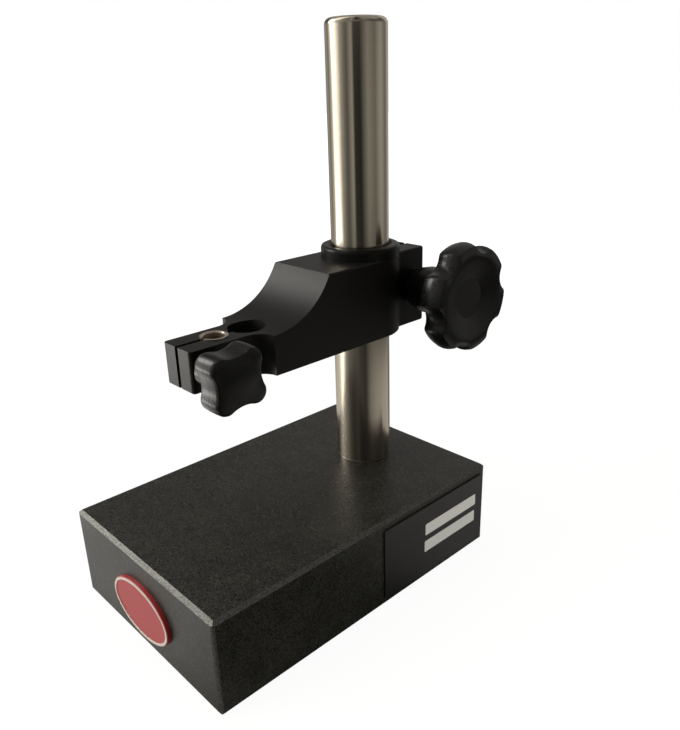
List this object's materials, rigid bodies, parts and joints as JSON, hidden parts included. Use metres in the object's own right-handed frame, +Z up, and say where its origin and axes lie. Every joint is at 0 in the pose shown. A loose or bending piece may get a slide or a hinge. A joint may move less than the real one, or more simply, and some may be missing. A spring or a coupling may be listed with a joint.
{
  "type": "height gauge",
  "caption": "Comparator stand: black granite base, ground steel column, split clamping arm with a large star knob, and a slotted tongue with a small knob that holds an indicator stem.",
  "frame": {"origin": "centre of the granite base's underside, at the level of the surface that it stands on", "axes": "+Z up along the column, +X towards the side with the knobs and the name plate, -Y towards the short front face with the badge, under the arm's tongue"},
  "size_m": [0.1007, 0.1672, 0.2285],
  "materials": {
    "granite": "fine-lapped black granite, matte with faint sheen",
    "column_steel": "cylindrically ground stainless steel, fine satin",
    "screw_steel": "black-oxide steel",
    "zinc_steel": "zinc-plated steel",
    "nickel": "nickel-plated, turned",
    "arm_black": "fine-blasted black anodised",
    "bush_black": "turned black acetal",
    "knob_black": "moulded black nylon, satin",
    "cap_black": "moulded black cap",
    "badge_red": "moulded red, satin gloss",
    "badge_pale": "pale cream-silver rim",
    "plate_dark": "dark anodised plate"
  },
  "bodies": {
    "base": {"base_block": "granite", "base_bush": "zinc_steel", "column": "column_steel", "column_screw": "screw_steel", "column_washer": "zinc_steel", "column_spring_washer": "screw_steel", "badge_body": "badge_red", "badge_rim": "badge_pale", "name_plate": "plate_dark"},
    "arm_bush": {"arm_bush": "bush_black"},
    "arm": {"arm": "arm_black", "stem_sleeve": "nickel", "clamp_thread_bush": "zinc_steel"},
    "clamp_washer": {"clamp_washer": "screw_steel"},
    "clamp_knob": {"clamp_knob": "knob_black", "clamp_knob_cap": "cap_black", "clamp_screw": "screw_steel"},
    "stem_washer": {"stem_washer": "screw_steel"},
    "stem_knob": {"stem_knob": "knob_black", "stem_screw": "screw_steel"}
  },
  "joints": [
    {"name": "arm_height", "type": "slide", "parent": "base", "child": "arm_bush", "axis": [0, 0, 1], "range_m": [-0.055, 0.085]},
    {"name": "arm_swivel", "type": "hinge", "parent": "arm_bush", "child": "arm", "pos_m": [0, 0.0465, 0.119], "axis": [0, 0, 1], "continuous": true},
    {"name": "clamp_travel", "type": "slide", "parent": "arm", "child": "clamp_washer", "axis": [1, 0, 0], "range_m": [0, 0.0025]},
    {"name": "clamp_turn", "type": "hinge", "parent": "clamp_washer", "child": "clamp_knob", "pos_m": [0.03, 0.067, 0.1191], "axis": [1, 0, 0], "range_deg": [0, 721]},
    {"name": "stem_travel", "type": "slide", "parent": "arm", "child": "stem_washer", "axis": [1, 0, 0], "range_m": [0, 0.0016]},
    {"name": "stem_turn", "type": "hinge", "parent": "stem_washer", "child": "stem_knob", "pos_m": [0.018, -0.041, 0.1098], "axis": [1, 0, 0], "range_deg": [0, 721]}
  ],
  "couplings": [
    {"joint": "clamp_turn", "follows": "clamp_travel", "rad_per_m": 5026.5},
    {"joint": "stem_turn", "follows": "stem_travel", "rad_per_m": 7854}
  ]
}
